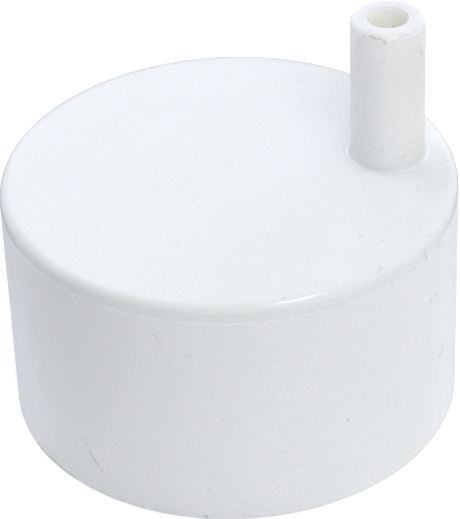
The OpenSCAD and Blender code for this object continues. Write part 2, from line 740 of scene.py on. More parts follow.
FACE_MARKS = (
    Mark(FACE, (25, -32.3), (24.2, -33.8), 0.8, 0.24, TAN),
    speck(FACE, (29, -36), 0.7, 0.30),
    speck(FACE, (34, -40), 0.6, 0.12),
    speck(FACE, (16.7, -40.3), 0.7, 0.10),
    speck(FACE, (21, -20.3), 0.6, 0.10, TAN),
    Mark(FACE, (42.4, -16.8), (41.8, -18.2), 0.6, 0.14),
    speck(FACE, (2.3, -52.2), 0.9, 0.42),
    speck(FACE, (-24.3, -39.7), 0.6, 0.15),
    speck(FACE, (-45, -3.4), 0.8, 0.13, COOL),
    speck(FACE, (-39.9, -18.9), 0.9, 0.40, TAN),
    speck(FACE, (-34.3, -15.3), 0.8, 0.24),
    Mark(FACE, (-30.2, -17.2), (-28.8, -17.9), 0.9, 0.10, TAN),
    Mark(FACE, (-17.7, -24.2), (-16.8, -25.9), 0.5, 0.20),
    speck(FACE, (-12.6, -30.6), 0.6, 0.12, TAN),
    speck(FACE, (-21.6, -5.4), 0.6, 0.18),
    speck(FACE, (-30.9, 9.7), 0.6, 0.26),
    speck(FACE, (-20.2, 3.9), 0.6, 0.16),
    speck(FACE, (-8.4, 12.5), 0.6, 0.15),
    speck(FACE, (-28.9, 24.1), 0.6, 0.14),
    speck(FACE, (-39.6, 31.9), 0.7, 0.25),
    speck(FACE, (-22.7, 28.1), 0.7, 0.26),
    speck(FACE, (-24.8, 43.3), 0.6, 0.18),
    speck(FACE, (4.8, 26.3), 0.6, 0.28),
    speck(FACE, (-0.9, 16.6), 0.6, 0.18),
    speck(FACE, (0.5, 16.2), 0.5, 0.14),
    speck(FACE, (8.4, 6), 0.6, 0.22),
    speck(FACE, (24.3, 27.5), 0.6, 0.13),
    speck(FACE, (11.9, 48.7), 0.8, 0.15),
)
EDGE_MARKS = (
    speck(WALL, (-8.3, 61.65), 0.7, 0.42),
    speck(WALL, (-65.2, 61.6), 0.5, 0.22),
    Mark(WALL, (-62.2, 61.2), (-60.9, 61.5), 0.6, 0.26, TAN),
    speck(WALL, (-60.6, 61.6), 0.9, 0.40, TAN),
    Mark(WALL, (-59.8, 61.5), (-59.2, 61.4), 0.6, 0.24, TAN),
    Mark(WALL, (-46.2, 59.6), (-45.8, 58.4), 1.2, 0.34, TAN),
    speck(WALL, (-41.9, 61.1), 0.9, 0.3),
)
WALL_MARKS = (
    Mark(WALL, (-52.2, 57.3), (-50, 57.4), 0.8, 0.24, TAN),
    speck(WALL, (-45.4, 57.2), 1.1, 0.34),
    Mark(WALL, (-37.5, 56.9), (-39.4, 56.9), 0.8, 0.26),
    speck(WALL, (-58.7, 57.3), 0.9, 0.32),
    speck(WALL, (-32.3, 45.7), 1.0, 0.36, TAN),
    Mark(WALL, (-26.3, 39), (-26.1, 37.8), 0.9, 0.42),
    Mark(WALL, (-25.9, 37), (-25.7, 35.8), 0.9, 0.24, TAN),
    speck(WALL, (-40, 43.4), 0.8, 0.5),
    Mark(WALL, (-42.4, 43.9), (-43, 43.1), 0.8, 0.32),
    Mark(WALL, (-43.2, 33.8), (-44.6, 31.6), 1.0, 0.16, TAN),
    Mark(WALL, (-35.3, 24.7), (-35.4, 23.8), 0.9, 0.5),
    Mark(WALL, (-36.2, 23.6), (-37.2, 23), 0.9, 0.26),
    speck(WALL, (-46.8, 29.7), 0.6, 0.18, TAN),
    Mark(WALL, (-41.9, 25.6), (-43.4, 25.4), 0.5, 0.12),
    Mark(WALL, (-56.6, 32.6), (-57.1, 32.3), 0.6, 0.12),
    speck(WALL, (-64.4, 35.4), 0.6, 0.14),
    speck(WALL, (-67.1, 33.2), 0.7, 0.30, TAN),
    speck(WALL, (-62.1, 25), 0.7, 0.12, TAN),
    speck(WALL, (-59.8, 25.8), 0.6, 0.26),
    speck(WALL, (-76.2, 29.9), 0.6, 0.34),
    speck(WALL, (-72.4, 24), 0.7, 0.55),
    speck(WALL, (-69.8, 45.6), 0.5, 0.12),
    speck(WALL, (-83.9, 28.2), 0.5, 0.12),
    speck(WALL, (-86.8, 6.8), 0.6, 0.26),
    speck(WALL, (-108.8, 0.9), 0.8, 0.90),
    speck(WALL, (-107.7, 9.6), 0.7, 0.34),
    speck(WALL, (-108.3, 37.7), 0.6, 0.14),
    speck(WALL, (-96.8, 16.7), 0.6, 0.14),
    speck(WALL, (-53.3, 15.2), 0.8, 0.22, TAN),
    speck(WALL, (-47.8, 15.5), 0.7, 0.18),
    speck(WALL, (-42.9, 12.2), 0.7, 0.20),
    speck(WALL, (-61.9, 15.2), 0.9, 0.18, TAN),
    speck(WALL, (-103.5, 30.5), 0.6, 0.22),
    speck(WALL, (-96.4, 20.4), 0.5, 0.10),
    Mark(WALL, (-111.6, 48.6), (-110.8, 48.4), 1.0, 0.24, TAN),
    speck(WALL, (-114.6, 50.3), 0.9, 0.20, TAN),
    Mark(WALL, (-118.8, 52), (-117.4, 51.1), 0.9, 0.24, TAN),
    Mark(WALL, (-120.2, 53.8), (-118.8, 53), 0.55, 0.44, COOL),
    speck(WALL, (-123.2, 42.3), 0.7, 0.28, COOL),
)
SCUFFS_AND_RIM_SHADOW = (
    Mark(WALL, (-143.2, 14.3), (-141.7, 15), 0.6, 0.24, COOL),
    Mark(WALL, (-141.7, 15), (-140.7, 13.8), 0.65, 0.40, COOL),
    Mark(WALL, (-140.2, 12), (-139.3, 10.4), 0.65, 0.38),
    Mark(WALL, (-139.3, 10.4), (-138.3, 9.1), 0.8, 0.48),
    Mark(WALL, (-137.6, 9), (-136.9, 8.1), 0.6, 0.32),
    speck(WALL, (-136.6, 7.8), 0.9, 0.60),
    speck(WALL, (-140.3, 2.8), 0.9, 0.28),
    # Painted contact shadow: dark lines along the bottom of the rim towards -X.
    Mark(WALL, (-163.5, 0.5), (-154, 0.5), 1.1, 0.46),
    Mark(WALL, (-154, 0.5), (-146.5, 0.6), 0.8, 0.44),
    # Tan lines along the bottom of the rim towards the front.
    Mark(WALL, (-60, 0.4), (-50, 0.4), 0.8, 0.3, TAN),
    Mark(WALL, (-50, 0.4), (-36, 0.5), 0.8, 0.36, TAN),
    Mark(WALL, (-157.9, 27.2), (-156.7, 25.4), 0.5, 0.2),
    Mark(WALL, (-160.4, 24.6), (-156.6, 23.2), 0.5, 0.2),
    Mark(WALL, (-156.6, 23.2), (-155.7, 21), 0.5, 0.2, TAN),
    Mark(WALL, (-155.7, 21), (-154.9, 19.5), 0.5, 0.18),
)
MARKS = (*MOUTH_MARKS, *FOOT_MARKS, *FACE_MARKS, *EDGE_MARKS, *WALL_MARKS, *SCUFFS_AND_RIM_SHADOW)


class NodePen:
    """Adds nodes to one tree and links them.

    Args:
        tree: The tree of a material, a world or a node group.
    """

    def __init__(self, tree: Tree) -> None:
        self.tree = tree

    def node(
        self, kind: str, inputs: dict[str | int, object] | None = None, **settings: object
    ) -> bpy.types.Node:
        """Add a node.

        Args:
            kind: Type of the node, without its first word where that is ShaderNode.
            inputs: What goes into its sockets, a link or a plain value each.
            settings: Its own settings.

        Returns:
            The new node.
        """
        made = self.tree.nodes.new(kind if kind.startswith("NodeGroup") else f"ShaderNode{kind}")
        for name, value in settings.items():
            setattr(made, name, value)
        self.fill(made, inputs or {})
        return made

    def fill(self, node: bpy.types.Node, inputs: dict[str | int, object]) -> None:
        """Feed several sockets of a node."""
        for name, value in inputs.items():
            self.feed(node.inputs[name], value)

    def feed(self, socket: Socket, value: object) -> None:
        """Link a socket, or set it to a plain value."""
        if isinstance(value, Socket):
            self.tree.links.new(value, socket)
        else:
            socket.default_value = value

    def group(self, tree: Tree, **inputs: object) -> Socket:
        """Place a node group, feed its inputs and give its one output."""
        return self.node("Group", inputs, node_tree=tree).outputs[0]

    def maths(self, operation: str, *values: object, clamp: bool = False) -> Socket:
        """Result of a sum on numbers."""
        inputs = dict(enumerate(values))
        return self.node("Math", inputs, operation=operation, use_clamp=clamp).outputs[0]

    def times(self, product: object, *others: object) -> Socket:
        """Product of two or more numbers."""
        for other in others:
            product = self.maths("MULTIPLY", product, other)
        return product

    def between(self, share: Socket, low: float, high: float) -> Socket:
        """Number that goes from low to high as a share goes from 0 to 1."""
        return self.maths("MULTIPLY_ADD", share, high - low, low)

    def vector(self, operation: str, *values: object) -> Socket:
        """Result of a sum on vectors, a number for the ones that measure."""
        made = self.node("VectorMath", dict(enumerate(values)), operation=operation)
        measures = operation in ("DOT_PRODUCT", "LENGTH", "DISTANCE")
        return made.outputs["Value" if measures else "Vector"]

    def axes(self, point: Socket) -> tuple[Socket, ...]:
        """X, Y and Z of a place."""
        return tuple(self.node("SeparateXYZ", {"Vector": point}).outputs)

    def from_axis(self, point: Socket, x: float) -> Socket:
        """Distance of a place from the upright axis that stands at X, in millimetres."""
        away = self.vector("SUBTRACT", point, (x * MM, 0.0, 0.0))
        return self.vector("LENGTH", self.vector("MULTIPLY", away, (1.0, 1.0, 0.0)))

    def fade(self, value: Socket, start: object, full: object) -> Socket:
        """Smooth share that is 0 at the start value and 1 at the full value."""
        inputs = {"Value": value, "From Min": start, "From Max": full}
        return self.node("MapRange", inputs, interpolation_type="SMOOTHSTEP").outputs["Result"]

    def within(self, *fades: tuple[Socket, float, Span]) -> Socket:
        """Share that is full only where all of its fades are.

        Args:
            fades: For each one the measure that it follows, a place on it and the start and
                the full end of the fade from there, in millimetres.
        """
        return self.times(
            *(
                self.fade(measure, (place + start) * MM, (place + full) * MM)
                for measure, place, (start, full) in fades
            )
        )

    def mix(self, share: object, one: object, other: object) -> Socket:
        """Colour between two colours."""
        inputs = {0: share, 6: one, 7: other}
        return self.node("Mix", inputs, data_type="RGBA").outputs[2]

    def noise(self, point: Socket, size: object, detail: float = 2.0) -> Socket:
        """Cloudy noise from 0 to 1, with clouds of about a size in metres."""
        spread = self.maths("DIVIDE", 1.0, size) if isinstance(size, Socket) else 1.0 / size
        inputs = {"Vector": point, "Scale": spread, "Detail": detail}
        return self.node("TexNoise", inputs).outputs["Fac"]

    def three_noises(self, point: Socket, size: float) -> Socket:
        """Fine noise with three independent parts, as the parts of a colour."""
        inputs = {"Vector": point, "Scale": 1 / size, "Detail": 3.0}
        return self.node("TexNoise", inputs).outputs["Color"]


class EffectGroup:
    """A node group while it is being drawn.

    Args:
        name: Name of the group.
        output: Name of its one output.
        kind: What the output carries: Float, Color or Vector.
        inputs: Its inputs with their defaults, a vector or a number each.
    """

    def __init__(self, name: str, output: str, kind: str = "Float", **inputs: object) -> None:
        self.tree = bpy.data.node_groups.new(name, "ShaderNodeTree")
        sockets = self.tree.interface
        for label, value in inputs.items():
            taken = "NodeSocketFloat" if isinstance(value, float) else "NodeSocketVector"
            socket = sockets.new_socket(label, in_out="INPUT", socket_type=taken)
            socket.default_value = value
        sockets.new_socket(output, in_out="OUTPUT", socket_type=f"NodeSocket{kind}")
        self.pen = NodePen(self.tree)
        self.given = self.pen.node("NodeGroupInput").outputs
        self.result = self.pen.node("NodeGroupOutput").inputs[output]

    def close(self, value: Socket) -> Tree:
        """Link the group's result and hand the finished group over."""
        self.pen.feed(self.result, value)
        return self.tree


class PlasticEffects:
    """Node groups that the finishes share, each drawn once.

    The sizes of their patterns are in metres.
    """

    MOTTLE = 0.7 * MM
    CLOUDS = 24 * MM
    GLOSS_CLOUDS = 14 * MM
    LINE_WEAR = 5 * MM
    RAGS = 0.6 * MM
    HAIRLINE_PATCHES = 11 * MM
    HAIRLINE_OFFSET = (0.31, 0.17, 0.23)
    SEED_STEP = 0.137
    WHITER, WARMER, GREENER = (1.0, 1.0, 1.0), (0.9, 0.0, -0.9), (-0.33, 0.67, -0.33)
    # Where the painted shade on the cup's wall lies, in millimetres.
    WALL_SHADE_CORNER: Span = (-27, -48)
    WALL_SHADE_HEIGHT: Span = (4, 56)

    def __init__(self) -> None:
        self.streak = self._draw_streak()
        self.flecks = self._draw_flecks()
        self.hairlines = self._draw_hairlines()
        self.relief = self._draw_relief()
        self.colour = self._draw_colour()
        self.gloss = self._draw_gloss()
        self.film = self._draw_edge_on_shade()
        self.line = self._draw_line()
        self.dust = self._draw_wall_shade()
        self.raggedness = self._draw_raggedness()
        self.crumbs = self._draw_crumbs()

    @staticmethod
    def _draw_streak() -> Tree:
        """Soft mask of one mark that runs from its start to its end."""
        places = {"Point": ORIGIN, "Start": ORIGIN, "End": ORIGIN}
        group = EffectGroup("placed_mark", "Mask", **places, Width=0.001, Cover=0.5)
        pen, given = group.pen, group.given
        along = pen.vector("SUBTRACT", given["End"], given["Start"])
        across = pen.vector("SUBTRACT", given["Point"], given["Start"])
        squared = pen.maths("MAXIMUM", pen.vector("DOT_PRODUCT", along, along), 1e-12)
        share = pen.maths("DIVIDE", pen.vector("DOT_PRODUCT", across, along), squared, clamp=True)
        away = pen.vector("DISTANCE", across, pen.vector("MULTIPLY", along, share))
        inner = pen.times(given["Width"], 0.15)
        outer = pen.times(given["Width"], 0.65)
        return group.close(pen.times(pen.fade(away, outer, inner), given["Cover"]))

    def _draw_flecks(self) -> Tree:
        """Mask of specks strewn over the surface, of uneven size."""
        sizes = {"Spacing": 0.01, "Width": 0.0005, "Share": 0.3, "Seed": 0.0}
        group = EffectGroup("strewn_specks", "Mask", Point=ORIGIN, **sizes)
        pen, given = group.pen, group.given
        moved = pen.vector("ADD", given["Point"], pen.times(given["Seed"], self.SEED_STEP))
        density = pen.maths("DIVIDE", 1.0, given["Spacing"])
        cells = pen.node("TexVoronoi", {"Vector": moved, "Scale": density}, feature="F1").outputs
        chance = pen.node("SeparateColor", {"Color": cells["Color"]}).outputs
        width = pen.times(given["Width"], pen.between(chance["Green"], 0.4, 1.2))
        radius = pen.maths("DIVIDE", width, given["Spacing"])
        spot = pen.fade(cells["Distance"], radius, pen.times(radius, 0.3))
        there = pen.maths("LESS_THAN", chance["Red"], given["Share"])
        return group.close(pen.times(spot, there, pen.between(chance["Blue"], 0.3, 1.0)))

    def _draw_hairlines(self) -> Tree:
        """Mask of broken hairlines that handling leaves on a glossy face."""
        sizes = {"Length": 0.02, "Width": 0.0002, "Share": 0.3}
        group = EffectGroup("hairlines", "Mask", Point=ORIGIN, **sizes)
        pen, given = group.pen, group.given
        course = pen.noise(given["Point"], given["Length"], 1.0)
        off = pen.maths("ABSOLUTE", pen.maths("SUBTRACT", course, 0.5))
        line = pen.fade(off, pen.maths("DIVIDE", given["Width"], given["Length"]), 0.0)
        elsewhere = pen.vector("ADD", given["Point"], self.HAIRLINE_OFFSET)
        patch = pen.noise(elsewhere, self.HAIRLINE_PATCHES)
        low = pen.maths("SUBTRACT", 0.72, pen.times(given["Share"], 0.4))
        return group.close(pen.times(line, pen.fade(patch, low, pen.maths("ADD", low, 0.08))))

    @staticmethod
    def _draw_relief() -> Tree:
        """Height of the faint unevenness that the mould leaves, from about 0 to 1."""
        group = EffectGroup("mould_relief", "Height", Point=ORIGIN, Wave=0.006, Grain=0.0006)
        pen, given = group.pen, group.given
        wave = pen.noise(given["Point"], given["Wave"], 1.0)
        grain = pen.noise(given["Point"], given["Grain"])
        return group.close(pen.maths("MULTIPLY_ADD", grain, 0.12, wave))

    def _draw_colour(self) -> Tree:
        """Colour of clean plastic, with broad clouds and a fine mottle."""
        looks = {"Base": (0.8, 0.8, 0.8), "Mottle": 0.14, "Tint": 0.1, "Cloud": 0.03}
        group = EffectGroup("clean_plastic", "Colour", "Color", Point=ORIGIN, **looks)
        pen, given = group.pen, group.given
        mottle = pen.three_noises(given["Point"], self.MOTTLE)
        chance = pen.node("SeparateColor", {"Color": mottle}).outputs
        colour = given["Base"]
        for part, strength, shade in (
            ("Red", given["Mottle"], self.WHITER),
            ("Green", given["Tint"], self.WARMER),
            ("Blue", given["Tint"], self.GREENER),
        ):
            share = pen.times(pen.maths("SUBTRACT", chance[part], 0.5), strength)
            colour = pen.vector("ADD", colour, pen.vector("MULTIPLY", shade, share))
        cloud = pen.maths("SUBTRACT", pen.noise(given["Point"], self.CLOUDS, 3.0), 0.5)
        return group.close(pen.vector("ADD", colour, pen.times(cloud, given["Cloud"])))

    def _draw_gloss(self) -> Tree:
        """Roughness of clean plastic, a little more or less from place to place."""
        group = EffectGroup("uneven_gloss", "Value", Point=ORIGIN, Roughness=0.4)
        pen, given = group.pen, group.given
        cloud = pen.maths("SUBTRACT", pen.noise(given["Point"], self.GLOSS_CLOUDS), 0.5)
        return group.close(pen.maths("MULTIPLY_ADD", cloud, 0.06, given["Roughness"]))

    @staticmethod
    def _draw_edge_on_shade() -> Tree:
        """Mask of the painted shade where the plastic is seen edge-on."""
        group = EffectGroup("edge_on_film", "Mask", Facing=0.0, Start=0.7, Full=1.0)
        given = group.given
        return group.close(group.pen.fade(given["Facing"], given["Start"], given["Full"]))

    def _draw_line(self) -> Tree:
        """Mask of the mould's witness line, worn through in places, on one side of the cup."""
        sizes = {"Height": 0.058, "Width": 0.0002, "Wear": 1.0, "Start": 0.0, "Full": 0.01}
        group = EffectGroup("witness_line", "Mask", Point=ORIGIN, **sizes)
        pen, given = group.pen, group.given
        x, _, z = pen.axes(given["Point"])
        off = pen.maths("ABSOLUTE", pen.maths("SUBTRACT", z, given["Height"]))
        line = pen.fade(off, given["Width"], pen.times(given["Width"], 0.3))
        gone = pen.fade(pen.noise(given["Point"], self.LINE_WEAR, 3.0), 0.65, 0.3)
        left = pen.maths("SUBTRACT", 1.0, pen.times(gone, given["Wear"]))
        return group.close(pen.times(line, left, pen.fade(x, given["Start"], given["Full"])))

    def _draw_wall_shade(self) -> Tree:
        """Cover of the painted shade round the cup, thickest above and at its corner towards -X."""
        group = EffectGroup("cup_dust", "Cover", Point=ORIGIN, Share=0.1, Corner=0.2)
        pen, given = group.pen, group.given
        x, _, z = pen.axes(given["Point"])
        corner = pen.within((x, 0, self.WALL_SHADE_CORNER))
        share = pen.maths("MULTIPLY_ADD", corner, given["Corner"], given["Share"])
        return group.close(pen.times(pen.within((z, 0, self.WALL_SHADE_HEIGHT)), share))

    def _draw_raggedness(self) -> Tree:
        """The place, shifted a little to and fro, so that a mark has a ragged outline."""
        group = EffectGroup("ragged_place", "Point", "Vector", Point=ORIGIN, Shift=0.001)
        pen, given = group.pen, group.given
        drift = pen.three_noises(given["Point"], self.RAGS)
        offset = pen.vector("SUBTRACT", drift, (0.5, 0.5, 0.5))
        shifted = pen.vector("MULTIPLY", offset, given["Shift"])
        return group.close(pen.vector("ADD", given["Point"], shifted))

    @staticmethod
    def _draw_crumbs() -> Tree:
        """How thick the soil of a mark lies from crumb to crumb."""
        group = EffectGroup("crumbs", "Cover", Point=ORIGIN, Size=0.0006)
        pen, given = group.pen, group.given
        crumbs = pen.fade(pen.noise(given["Point"], given["Size"]), 0.38, 0.56)
        return group.close(pen.between(crumbs, 0.5, 1.1))


class Canvas:
    """The tree of one material while a finish is drawn on it.

    Args:
        material: The new material.
        effects: The shared node groups.
        sizes: Sizes of the moulding.
    """

    def __init__(
        self, material: bpy.types.Material, effects: PlasticEffects, sizes: PlugSizes
    ) -> None:
        self.pen = NodePen(material.node_tree)
        self.effects = effects
        self.sizes = sizes
        self.point = self.pen.node("TexCoord").outputs["Object"]

    @cached_property
    def axes(self) -> tuple[Socket, ...]:
        """X, Y and Z of the place on the object."""
        return self.pen.axes(self.point)

    def effect(self, tree: Tree, **inputs: object) -> Socket:
        """Result of a shared node group at the place on the object."""
        return self.pen.group(tree, Point=self.point, **inputs)

    def upright(self, height_share: float) -> Socket:
        """The place with its height scaled down, which draws a pattern out upwards."""
        return self.pen.vector("MULTIPLY", self.point, (1.0, 1.0, height_share))

    def cloudy(self, size: float, span: Span, detail: float = 2.0, upright: float = 1.0) -> Socket:
        """Mask with soft patches.

        Args:
            size: Size of the patches in millimetres.
            span: Values of the noise where they start and where they are full.
            detail: How finely broken their outlines are.
            upright: Share of the height that counts.
        """
        return self.pen.fade(self.pen.noise(self.upright(upright), size * MM, detail), *span)


@dataclass(frozen=True)
class Layer:
    """Soil, wear, painted shade or a painted highlight that lies on the plastic.

    Attributes:
        mask: Where it lies, up to 1.
        share: Share of the plastic that it hides there.
        matter: What it is made of.
        skin: How thick a glossy skin it has, up to 1.
    """

    mask: Socket
    share: float | Socket
    matter: Matter
    skin: float = 0.0


@dataclass(frozen=True)
class PlasticFinish:
    """Moulded white plastic, as one region of the plug shows it.

    Attributes:
        base: Linear colour of the clean plastic.
        mottle: Strength of the fine mottle from light to dark.
        tint: Strength of the fine mottle's colours.
        cloud: Strength of the broad clouds.
        roughness: Roughness of the clean plastic.
        ior: Index of refraction.
        glow: Share of the light that goes into the plastic and comes out nearby.
        glow_depth: How far that light goes, in millimetres.
        glow_spread: How far each colour of it goes, next to red.
        skin_ior: Index of refraction of a polished skin.
        skin_roughness: Roughness of a polished skin.
        relief: Height of the surface's unevenness in millimetres.
        wave: Size of the unevenness in millimetres.
        speck_share: Share of the surface's cells that hold a strewn dark speck.
        tan_specks: Tan specks for each dark one.
        speck_covers: Shares of the plastic that dark and tan strewn specks hide.
        hairlines: Share of the plastic that the hairlines hide.
        film: Share of the plastic that painted shade hides where it is seen edge-on.
        edge_on_shade_span: How edge-on the painted shade starts to show and shows in full, up to 1.
        ragged: How far the outlines of the placed marks stray, in millimetres.
    """

    base: Colour = (0.794, 0.81, 0.825)
    mottle: float = 0.145
    tint: float = 0.095
    cloud: float = 0.03
    roughness: float = 0.38
    ior: float = 1.48
    glow: float = 0.0
    glow_depth: float = 4.0
    glow_spread: Colour = (1.0, 0.95, 0.9)
    skin_ior: float = 1.9
    skin_roughness: float = 0.14
    relief: float = 0.012
    wave: float = 5.0
    speck_share: float = 0.3
    tan_specks: float = 0.6
    speck_covers: tuple[float, float] = (0.22, 0.18)
    hairlines: float = 0.25
    film: float = 0.2
    edge_on_shade_span: Span = (0.7, 1.0)
    ragged: float = 0.9

    def make(
        self, name: str, effects: PlasticEffects, sizes: PlugSizes, marks: list[Mark]
    ) -> bpy.types.Material:
        """Draw the material.

        Args:
            name: Name of the material.
            effects: The shared node groups.
            sizes: Sizes of the moulding.
            marks: Marks that lie on this region.

        Returns:
            The material.
        """
        material = bpy.data.materials.new(name)
        material.use_nodes = True
        canvas = Canvas(material, effects, sizes)
        pen, shader = canvas.pen, material.node_tree.nodes["Principled BSDF"]
        grain = {"Base": self.base, "Mottle": self.mottle, "Tint": self.tint, "Cloud": self.cloud}
        colour = canvas.effect(effects.colour, **grain)
        rough = canvas.effect(effects.gloss, Roughness=self.roughness)
        for layer in self._layers(canvas, marks):
            cover = pen.times(layer.mask, layer.share)
            if layer.matter.colour:
                colour = pen.mix(cover, colour, (*layer.matter.colour, 1))
            if layer.matter.roughness:
                rough = pen.maths("MULTIPLY_ADD", cover, layer.matter.roughness, rough)
            if layer.skin:
                pen.feed(shader.inputs["Coat Weight"], pen.times(cover, layer.skin))
        height = canvas.effect(effects.relief, Wave=self.wave * MM)
        bump = pen.node("Bump", {"Height": height, "Distance": self.relief * MM})
        looks = {
            "Base Color": colour,
            "Roughness": rough,
            "Normal": bump.outputs["Normal"],
            "IOR": self.ior,
            "Subsurface Weight": self.glow,
            "Subsurface Radius": self.glow_spread,
            "Subsurface Scale": self.glow_depth * MM,
            "Coat IOR": self.skin_ior,
            "Coat Roughness": self.skin_roughness,
        }
        pen.fill(shader, looks)
        return material

    def _layers(self, canvas: Canvas, marks: list[Mark]) -> list[Layer]:
        """All that lies on the plastic, from the lowest layer up."""
        # Painted shade: the plastic darkens where it is seen edge-on.
        edge_on = canvas.pen.node("LayerWeight", {"Blend": 0.5}).outputs["Facing"]
        start, full = self.edge_on_shade_span
        film = canvas.pen.group(canvas.effects.film, Facing=edge_on, Start=start, Full=full)
        return [
            Layer(film, self.film, Matter.FILM),
            *self._soil(canvas),
            *self._handling(canvas),
            *self._placed(canvas, marks),
        ]

    def _soil(self, canvas: Canvas) -> list[Layer]:
        """Soil, painted shade and painted highlights that belong to the region, none on plain
        plastic.
        """
        return []

    def _handling(self, canvas: Canvas) -> list[Layer]:
        """Strewn specks and hairlines, fainter than the placed marks."""
        effects, tan_share = canvas.effects, self.speck_share * self.tan_specks
        dark_sizes = {"Spacing": 8 * MM, "Width": 0.3 * MM, "Share": self.speck_share}
        tan_sizes = {"Spacing": 6 * MM, "Width": 0.4 * MM, "Share": tan_share, "Seed": 3.0}
        dark_cover, tan_cover = self.speck_covers
        return [
            Layer(canvas.effect(effects.flecks, **dark_sizes), dark_cover, Matter.FINE_SOOT),
            Layer(canvas.effect(effects.flecks, **tan_sizes), tan_cover, Matter.FINE_TAN),
            Layer(canvas.effect(effects.hairlines), self.hairlines, Matter.HAIRLINE),
        ]

    def _placed(self, canvas: Canvas, marks: list[Mark]) -> list[Layer]:
        """The placed marks, one layer for each matter, the painted glint among them, with ragged
        outlines.
        """
        if not marks:
            return []
        pen, effects = canvas.pen, canvas.effects
        ragged = canvas.effect(effects.raggedness, Shift=self.ragged * MM)
        cover = canvas.effect(effects.crumbs)
        layers = []
        for stain in MARK_MATTERS:
            mask: object = 0.0
            for mark in (mark for mark in marks if mark.stain is stain):
                start, end = mark.ends(canvas.sizes)
                sizes = {"Width": mark.width * MM, "Cover": mark.cover}
                spot = pen.group(effects.streak, Point=ragged, Start=start, End=end, **sizes)
                mask = pen.maths("MAXIMUM", mask, spot)
            if isinstance(mask, Socket):
                layers.append(Layer(mask, cover, stain))
        return layers


@dataclass(frozen=True)
class CupFinish(PlasticFinish):
    """Plastic of the cup, with what both its closed end and its wall show.

    Attributes:
        line_width: How far the witness line shows from its middle, in millimetres.
        line_whitening_highlight: Share of the plastic that the witness line hides on its bright
            side, partly whitening of the line and partly a painted highlight.
        line_dirt: The same on its dull side.
        dust: Share of the plastic that painted shade high up the wall hides.
        corner_wall_shade: What that share gains towards -X.
    """

    line_width: float = 0.3
    line_whitening_highlight: float = 0.4
    line_dirt: float = 0.12
    dust: float = 0.10
    corner_wall_shade: float = 0.15

    def _wall_shade_cover(self, canvas: Canvas) -> Socket:
        """Cover of the painted shade round the cup."""
        return canvas.effect(canvas.effects.dust, Share=self.dust, Corner=self.corner_wall_shade)

    def _witness_line(self, canvas: Canvas) -> list[Layer]:
        """The mould's line round the cup, paler towards -X as whitening and a painted highlight,
        and dull towards +X.
        """
        place = {"Height": canvas.sizes.line_z * MM, "Width": self.line_width * MM}
        left = {"Start": 15 * MM, "Full": -25 * MM, "Wear": 0.6}
        right = {"Start": -5 * MM, "Full": 20 * MM, "Wear": 0.0}
        bright = canvas.effect(canvas.effects.line, **place, **left)
        dull = canvas.effect(canvas.effects.line, **place, **right)
        return [
            # Paler line towards -X: whitening and a painted highlight.
            Layer(bright, self.line_whitening_highlight, Matter.BRIGHT_LINE),
            Layer(dull, self.line_dirt, Matter.DULL_LINE),
        ]


